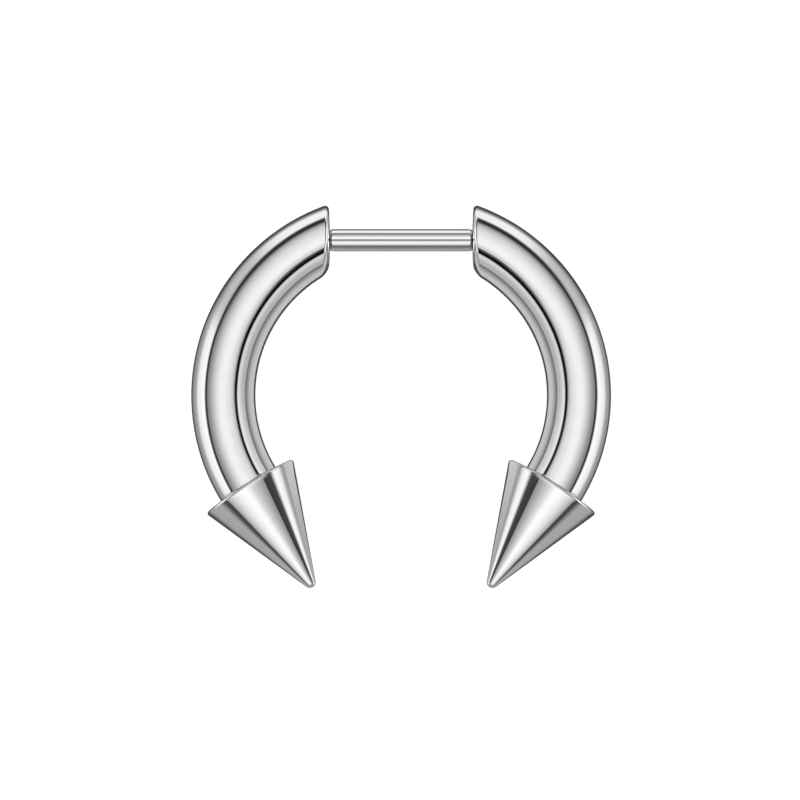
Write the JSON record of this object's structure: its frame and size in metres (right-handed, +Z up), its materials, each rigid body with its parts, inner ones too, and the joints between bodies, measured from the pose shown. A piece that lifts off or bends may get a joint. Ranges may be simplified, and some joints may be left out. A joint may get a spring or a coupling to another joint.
{
  "type": "horseshoe barbell",
  "caption": "Polished steel horseshoe earring: thick curved arms on a thin straight post, each ending in a screw-on spike.",
  "frame": {"origin": "middle of the bounding box's underside, on the surface that the horseshoe lies on", "axes": "+X along the post from the left arm to the right arm, +Y from the spikes' points towards the post, +Z up from the surface"},
  "size_m": [0.0226, 0.0206, 0.0054],
  "materials": {
    "polished_steel": "polished"
  },
  "bodies": {
    "left_arm_and_post": {"left_arm": "polished_steel", "post": "polished_steel"},
    "right_arm": {"right_arm": "polished_steel"},
    "left_spike": {"left_spike": "polished_steel"},
    "right_spike": {"right_spike": "polished_steel"}
  },
  "joints": [
    {"name": "right_arm_slide", "type": "slide", "parent": "left_arm_and_post", "child": "right_arm", "axis": [1, 0, 0], "range_m": [0, 0.02]},
    {"name": "left_spike_slide", "type": "slide", "parent": "left_arm_and_post", "child": "left_spike", "axis": [0.5329, -0.8439, 0.0619], "range_m": [0, 0.004]},
    {"name": "right_spike_slide", "type": "slide", "parent": "right_arm", "child": "right_spike", "axis": [-0.5329, -0.8439, 0.0619], "range_m": [0, 0.004]}
  ]
}
